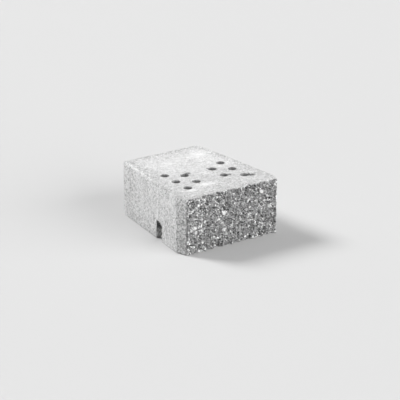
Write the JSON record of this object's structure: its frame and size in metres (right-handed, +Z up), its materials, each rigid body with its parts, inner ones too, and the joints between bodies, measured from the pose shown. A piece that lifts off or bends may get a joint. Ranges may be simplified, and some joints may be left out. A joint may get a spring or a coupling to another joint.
{
  "type": "split-face concrete block",
  "caption": "Tapered concrete block with a split front face, blind pin holes in its top and a pin channel across its underside.",
  "frame": {"origin": "middle of the base, on the surface that the block stands on", "axes": "+Z up, -Y out of the split face, +X to the right of someone who faces the split face"},
  "size_m": [0.2998, 0.336, 0.15],
  "materials": {
    "concrete": "dry-cast concrete, with smooth moulded faces and a front face split to show its aggregate"
  },
  "bodies": {
    "root": {"split_face_block": "concrete"}
  },
  "joints": []
}
